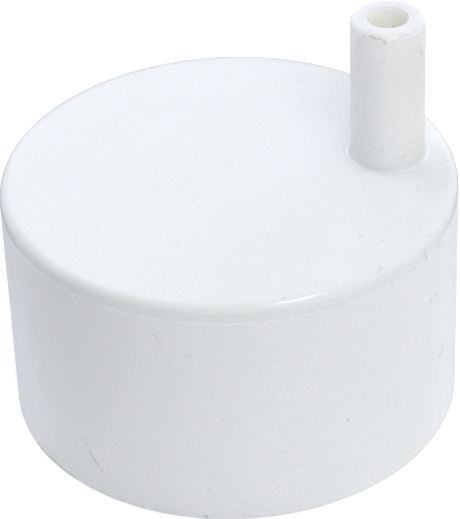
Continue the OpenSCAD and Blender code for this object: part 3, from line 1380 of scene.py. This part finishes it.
@dataclass(frozen=True)
class EdgeFinish(CupFinish):
    """The closed end, with painted shade on its rounded edge and a polished stretch of it.

    The spans are fades in millimetres, heights counted from the flat face.

    Attributes:
        polish: How glossy handling has left a stretch of the rounding in front, up to 1.
        polish_heights: Upper and lower end of that stretch.
        polish_sides: Its ends towards -X and +X.
        polish_front: Where it starts along Y.
        strip: Where the painted shade of the wall starts below the rounding.
        side_edge_shade: Share of the plastic that painted shade along the edge hides towards -X.
        far_edge_shade: The same behind.
        rounding_shade: Share of the plastic that the painted shade on the front rounding hides.
        rounding_shade_place: Middle of the painted shade.
        rounding_shade_reach: Distance from the middle where the painted shade thins out.
        rounding_shade_heights: Upper and lower end of the painted shade.
        side_shade_span: Where the painted shade towards -X lies: outward from where the rounding
            starts, along X and along Y.
        behind_shade_span: Where the painted shade behind lies: outward and along Y.
        edge_shade_height: Height of both.
    """

    polish: float = 0.75
    polish_heights: tuple[Span, Span] = ((-0.06, -0.2), (-0.65, -0.4))
    polish_sides: tuple[Span, Span] = ((-11, 3), (16, 7))
    polish_front: Span = (-30, -40)
    strip: Span = (-0.8, -1.8)
    side_edge_shade: float = 0.10
    far_edge_shade: float = 0.30
    rounding_shade: float = 0.13
    rounding_shade_place: tuple[float, float, float] = (-20, -51, 60.7)
    rounding_shade_reach: Span = (38, 12)
    rounding_shade_heights: tuple[Span, Span] = ((-0.15, -0.8), (-2.2, -1.3))
    side_shade_span: tuple[Span, Span, Span] = ((0.1, 1.7), (28, -6), (4, -16))
    behind_shade_span: tuple[Span, Span] = ((-0.9, 0.7), (24, 46))
    edge_shade_height: Span = (-2.4, -0.7)

    def _soil(self, canvas: Canvas) -> list[Layer]:
        """Polish and painted shade on the rounding and just below it, and the line below it."""
        pen, top = canvas.pen, canvas.sizes.face_z
        x, y, z = canvas.axes
        heights = ((z, top, span) for span in self.polish_heights)
        sides = ((x, 0, span) for span in self.polish_sides)
        smooth = pen.within(*heights, *sides, (y, 0, self.polish_front))
        # Painted shade of the wall, carried up to just below the rounding.
        under = pen.times(self._wall_shade_cover(canvas), pen.within((z, top, self.strip)))
        return [
            Layer(smooth, 1.0, Matter.POLISH, skin=self.polish),
            Layer(under, 1.0, Matter.WALL_DUST),
            # Painted shade along the upper rounding, towards -X and behind.
            Layer(self._dust(canvas), 1.0, Matter.EDGE_DUST),
            # Painted shade on the front rounding, thickest towards the front left.
            Layer(self._rounding_shade(canvas), self.rounding_shade, Matter.EDGE_GRIME),
            *self._witness_line(canvas),
        ]

    def _dust(self, canvas: Canvas) -> Socket:
        """Cover of the painted shade on the upper half of the rounding, further in behind."""
        pen, sizes = canvas.pen, canvas.sizes
        x, y, z = canvas.axes
        out = pen.from_axis(canvas.point, 0)
        start = sizes.wall_radius(sizes.face_z)
        outward, along_x, along_y = self.side_shade_span
        side = pen.within((out, start, outward), (x, 0, along_x), (y, 0, along_y))
        outward, along_y = self.behind_shade_span
        behind = pen.within((out, start, outward), (y, 0, along_y))
        covers = (pen.times(side, self.side_edge_shade), pen.times(behind, self.far_edge_shade))
        upper = pen.within((z, sizes.face_z, self.edge_shade_height))
        return pen.times(upper, pen.maths("MAXIMUM", *covers))

    def _rounding_shade(self, canvas: Canvas) -> Socket:
        """Mask of the painted shade on the rounding, thickest round its middle and thin elsewhere.
        """
        pen, top = canvas.pen, canvas.sizes.face_z
        z = canvas.axes[2]
        band = pen.within(*((z, top, span) for span in self.rounding_shade_heights))
        middle = tuple(value * MM for value in self.rounding_shade_place)
        away = pen.vector("DISTANCE", canvas.point, middle)
        near = pen.between(pen.within((away, 0, self.rounding_shade_reach)), 0.15, 1.0)
        return pen.times(band, near, pen.between(pen.noise(canvas.point, 3 * MM), 0.6, 1.4))


@dataclass(frozen=True)
class WallFinish(CupFinish):
    """The round wall, with painted shade above, the witness line with its painted highlight, and a
    rubbed patch.

    Attributes:
        rub: Share of the plastic that the ticks in the rubbed patch hide.
        rub_side: Where the patch starts along X and is in full, in millimetres.
        rub_height: The same for its height.
        tick_stretch: Share of the height that counts for the ticks, which draws them out.
    """

    rub: float = 0.3
    rub_side: Span = (28, 38)
    rub_height: Span = (22, 34)
    tick_stretch: float = 0.3

    def _soil(self, canvas: Canvas) -> list[Layer]:
        """Painted shade that thins out downwards, the line, and upright ticks towards +X."""
        pen = canvas.pen
        x, _, z = canvas.axes
        sizes = {"Spacing": 2.6 * MM, "Width": 0.3 * MM, "Share": 0.4, "Seed": 7.0}
        upright = canvas.upright(self.tick_stretch)
        ticks = pen.group(canvas.effects.flecks, Point=upright, **sizes)
        patch = pen.within((x, 0, self.rub_side), (z, 0, self.rub_height))
        return [
            # Painted shade: the wall is darker high up and towards -X.
            Layer(self._wall_shade_cover(canvas), 1.0, Matter.WALL_DUST),
            *self._witness_line(canvas),
            Layer(pen.times(ticks, patch), self.rub, Matter.TICK),
        ]


@dataclass(frozen=True)
class NozzleFinish(PlasticFinish):
    """The nozzle, with mottling on its side, grime round its mouth, painted shade on its side and
    mouth, and a painted highlight round its foot.

    Attributes:
        blotches: Share of the plastic that the mottling hides.
        mouth_grime: Share of the plastic that the grime at the mouth hides.
        lit_side_shade: Share of the plastic that painted shade on the lit side towards +X hides.
        high_shade: Share of the plastic that painted shade hides high up, all round.
        mouth_shade: Share of the plastic that painted shade on the flat mouth hides.
        foot_highlight: Share of the plastic that the painted highlight round the foot hides.
        highlight_inset: Distance of that highlight from where the foot runs out, in millimetres.
    """

    blotches: float = 0.03
    mouth_grime: float = 0.12
    lit_side_shade: float = 0.34
    high_shade: float = 0.17
    mouth_shade: float = 0.37
    foot_highlight: float = 0.9
    highlight_inset: float = 0.3

    def _soil(self, canvas: Canvas) -> list[Layer]:
        """Blotches and painted shade on the side, painted shade and grime at the mouth, and the
        foot with its painted shade and painted highlight.
        """
        pen, top, face = canvas.pen, canvas.sizes.top_z, canvas.sizes.face_z
        axis = canvas.sizes.nozzle_x
        x, _, z = canvas.axes
        on_side = pen.within((z, top, (-0.8, -1.6)), (z, face, (0.1, 1.0)))
        fine = canvas.cloudy(1.1, (0.35, 0.65))
        blotch = canvas.cloudy(2.4, (0.42, 0.70), detail=4.0, upright=0.7)
        near_side = pen.within((x, axis, (12, -8)))
        mottle = pen.times(blotch, pen.between(fine, 0.4, 1.0), near_side, on_side)
        ring = pen.times(pen.within((z, top, (-3.2, -1.3))), on_side, fine)
        # Painted shade on the lit side towards +X, which flattens the nozzle's shading.
        lit_side = pen.times(pen.within((x, axis, (-7, 9))), on_side)
        # Painted shade high up the nozzle, darker towards the mouth.
        high = pen.times(pen.fade(z, (face + 2) * MM, (top - 6) * MM), on_side)
        # Painted shade on the flat mouth and its rounding, which face the light.
        mouth = pen.within((z, top, (-1.5, -0.7)))
        foot = pen.within((z, face, (1.3, 0.6)))
        return [
            Layer(mottle, self.blotches, Matter.NOZZLE_GRIME),
            Layer(ring, self.mouth_grime, Matter.NOZZLE_GRIME),
            Layer(lit_side, self.lit_side_shade, Matter.NOZZLE_SOIL),
            Layer(high, self.high_shade, Matter.NOZZLE_SOIL),
            Layer(mouth, self.mouth_shade, Matter.MOUTH_DUST),
            # The flat face's tone at the foot: painted shade in the crease below the nozzle's paler
            # base.
            Layer(foot, 1.0, Matter.FOOT),
            # Painted highlight round the foot.
            Layer(self._foot_highlight(canvas), self.foot_highlight, Matter.FOOT_RIM),
        ]

    def _foot_highlight(self, canvas: Canvas) -> Socket:
        """Mask of the painted highlight, a thin ring where the foot runs out on the flat face,
        broken in places.
        """
        pen, sizes = canvas.pen, canvas.sizes
        rim = (sizes.nozzle_r + sizes.foot_r - self.highlight_inset) * MM
        out = pen.from_axis(canvas.point, sizes.nozzle_x)
        off = pen.maths("ABSOLUTE", pen.maths("SUBTRACT", out, rim))
        low = (canvas.axes[2], sizes.face_z, (0.5, 0.2))
        return pen.times(pen.within((off, 0, (0.34, 0.08)), low), canvas.cloudy(5, (0.36, 0.56)))


@dataclass(frozen=True)
class BoreFinish(PlasticFinish):
    """The bore, stained beige by what ran through it.

    Attributes:
        stain: Share of the plastic that the stain hides.
        scale: Share of the plastic that dried scale hides.
    """

    stain: float = 0.8
    scale: float = 0.4

    def _soil(self, canvas: Canvas) -> list[Layer]:
        """Beige blotches, with darker runs along the bore and spots of scale."""
        blotches = canvas.cloudy(2.2, (0.36, 0.60), detail=4.0)
        runs = canvas.cloudy(1.3, (0.58, 0.74), detail=3.0, upright=0.45)
        spots = canvas.cloudy(0.7, (0.58, 0.72))
        return [
            Layer(blotches, self.stain, Matter.BORE_STAIN),
            Layer(runs, self.scale, Matter.BORE_SCALE),
            Layer(spots, self.scale, Matter.BORE_SCALE),
        ]


class PlugFinishes:
    """The five finishes of the plug.

    Args:
        sizes: Sizes of the moulding.
    """

    finishes = {
        Region.TOP: EdgeFinish(
            base=(0.792, 0.8145, 0.822), roughness=0.46, tint=0.06, film=0.42, edge_on_shade_span=(0.6, 0.88)
        ),
        # The wall's base is paler than the closed end's, making up for the painted shade laid on
        # the wall.
        Region.WALL: WallFinish(base=(0.822, 0.838, 0.854)),
        # Painted light: the nozzle's base is much paler than the cup's, lifting its shaded side.
        Region.NOZZLE: NozzleFinish(
            base=(0.924, 0.93, 0.94), mottle=0.2, tint=0.11, glow=0.8, film=0.25
        ),
        # Painted light: the bore's base is paler than the cup's, lifting the shade inside it.
        Region.BORE: BoreFinish(base=(0.93, 0.93, 0.905), roughness=0.5, glow=0.8, glow_depth=8.0),
        Region.HOLLOW: PlasticFinish(roughness=0.45, speck_share=0.2),
    }

    def __init__(self, sizes: PlugSizes) -> None:
        self.sizes = sizes

    def make(self) -> dict[Region, bpy.types.Material]:
        """Draw the material of every region."""
        effects = PlasticEffects()
        made = {}
        for region, finish in self.finishes.items():
            marks = [mark for mark in MARKS if mark.region(self.sizes) is region]
            made[region] = finish.make(region.value, effects, self.sizes, marks)
            log.info("%s: %d placed marks", region.value, len(marks))
        return made


@dataclass(frozen=True)
class SoftLamp:
    """A square area lamp that faces the plug.

    Attributes:
        name: Name of the lamp.
        heading_deg: Direction from the plug.
        height_deg: Direction from the plug, above the floor.
        power: Power in watts.
        width: Side of the lamp in metres.
        reach: Distance from the plug in metres.
        colour: Linear colour of the light.
    """

    name: str
    heading_deg: float
    height_deg: float
    power: float
    width: float = 0.7
    reach: float = 1.3
    colour: Colour = (1.0, 1.0, 1.0)

    def hang(self, target: Vector) -> None:
        """Make the lamp, facing a point."""
        heading, height = math.radians(self.heading_deg), math.radians(self.height_deg)
        level = Vector((math.cos(heading), math.sin(heading), 0)) * math.cos(height)
        towards = level + Vector((0, 0, math.sin(height)))
        light = bpy.data.lights.new(self.name, "AREA")
        light.shape = "SQUARE"
        light.size = self.width
        light.energy = self.power
        light.color = self.colour
        lamp = bpy.data.objects.new(self.name, light)
        bpy.context.collection.objects.link(lamp)
        lamp.location = target + towards * self.reach
        lamp.rotation_euler = towards.to_track_quat("Z", "Y").to_euler()


@dataclass(frozen=True)
class Viewpoint:
    """The camera, where the photograph was taken from.

    Attributes:
        place: Place of the lens in millimetres.
        heading_deg: Direction of view, turned from +Y towards +X.
        tilt_deg: Direction of view above the horizon.
        roll_deg: Turn about the direction of view.
        focal_px: Focal length in pixels of the photograph.
        long_side_px: Long side of the photograph in pixels.
        sensor_mm: Width of the sensor, which takes the long side.
    """

    place: tuple[float, float, float] = (-94.24, -531.7, 424.75)
    heading_deg: float = 10.004
    tilt_deg: float = -35.741
    roll_deg: float = -2.291
    focal_px: float = 2718.4
    long_side_px: float = 519.0
    sensor_mm: float = 36.0

    def set_up(self) -> None:
        """Make the camera and give it to the scene."""
        data = bpy.data.cameras.new("camera")
        data.sensor_width = self.sensor_mm
        data.lens = self.focal_px / self.long_side_px * self.sensor_mm
        data.clip_start, data.clip_end = 0.01, 20
        camera = bpy.data.objects.new("camera", data)
        bpy.context.collection.objects.link(camera)
        turn = (
            Matrix.Rotation(-math.radians(self.heading_deg), 4, "Z")
            @ Matrix.Rotation(math.radians(90 + self.tilt_deg), 4, "X")
            @ Matrix.Rotation(math.radians(self.roll_deg), 4, "Z")
        )
        camera.matrix_world = Matrix.Translation(Vector(self.place) * MM) @ turn
        bpy.context.scene.camera = camera


@dataclass
class Studio:
    """Pale floor, white surroundings, soft lamps and the camera.

    Attributes:
        lamps: The lamps.
        sky: Linear colour of the light from all round.
        floor_width: Side of the floor in metres.
        floor_colour: Linear colour of the floor's paper.
        floor_roughness: Roughness of the paper.
        floor_lift: How much of the white background shows in the floor itself.
        aim_height: Height that the lamps face, in millimetres.
    """

    lamps: tuple[SoftLamp, ...] = (
        SoftLamp("front", 270, 50, 9.0, width=0.9),
        SoftLamp("front_right", 315, 20, 1.75),
        SoftLamp("right", 0, 20, 0.78),
        SoftLamp("right_high", 0, 50, 3.6, width=1.4),
        SoftLamp("back_right", 45, 20, 2.8, colour=(0.94, 0.98, 1.09)),
        SoftLamp("back", 90, 20, 3.5, colour=(0.91, 1.00, 1.09)),
        SoftLamp("back_left", 135, 20, 2.2, colour=(0.94, 0.98, 1.2)),
        SoftLamp("back_left_high", 135, 50, 4.25),
        SoftLamp("overhead_small", -12, 76.5, 1.0, width=0.25),
    )
    sky: Colour = (0.08, 0.08, 0.09)
    floor_width: float = 8.0
    floor_colour: Colour = (0.96, 0.96, 0.96)
    floor_roughness: float = 0.9
    floor_lift: float = 0.25
    aim_height: float = 40.0

    def build(self) -> None:
        """Make everything that stands round the plug."""
        Viewpoint().set_up()
        for lamp in self.lamps:
            lamp.hang(Vector((0, 0, self.aim_height * MM)))
        self._light_sky()
        self._lay_floor()
        bpy.context.scene.view_settings.view_transform = "Standard"

    def _light_sky(self) -> None:
        """Light the plug from all round, and show white to the camera and in reflections."""
        world = bpy.data.worlds.new("surroundings")
        bpy.context.scene.world = world
        world.use_nodes = True
        world.node_tree.nodes.clear()
        pen = NodePen(world.node_tree)
        light = pen.node("Background", {"Color": (*self.sky, 1)}).outputs[0]
        white = pen.node("Background", {"Color": (1, 1, 1, 1)}).outputs[0]
        mixed = pen.node("MixShader", {0: self._seen(pen), 1: light, 2: white}).outputs[0]
        pen.node("OutputWorld", {"Surface": mixed})

    def _lay_floor(self) -> None:
        """Lay the floor that the plug stands on."""
        bpy.ops.object.select_all(action="DESELECT")
        bpy.ops.mesh.primitive_plane_add(size=self.floor_width, location=(0, 0, 0))
        floor = bpy.context.object
        floor.name = "floor"
        paper = bpy.data.materials.new("floor_paper")
        paper.use_nodes = True
        pen = NodePen(paper.node_tree)
        looks = {
            "Base Color": (*self.floor_colour, 1),
            "Roughness": self.floor_roughness,
            "Emission Color": (1, 1, 1, 1),
            "Emission Strength": pen.times(self._seen(pen), self.floor_lift),
        }
        pen.fill(paper.node_tree.nodes["Principled BSDF"], looks)
        floor.data.materials.append(paper)

    @staticmethod
    def _seen(pen: NodePen) -> Socket:
        """Whether a ray comes from the camera, or was mirrored or refracted."""
        path = pen.node("LightPath").outputs
        mirrored = pen.maths("MAXIMUM", path["Is Glossy Ray"], path["Is Transmission Ray"])
        return pen.maths("MAXIMUM", path["Is Camera Ray"], mirrored)


def main() -> None:
    """Build the plug and its studio."""
    logging.basicConfig(level=logging.INFO, format="%(message)s")
    moulding = PlugMoulding(PlugSizes.from_frame())
    skin = moulding.build()
    moulding.dress(skin, PlugFinishes(moulding.sizes).make())
    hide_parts(NODE)
    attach(skin, BODY)
    log.info("%s: %d faces", skin.name, len(skin.data.polygons))
    studio = Studio()
    studio.build()
    log.info("studio: %d lamps", len(studio.lamps))


if __name__ == "__main__":
    main()
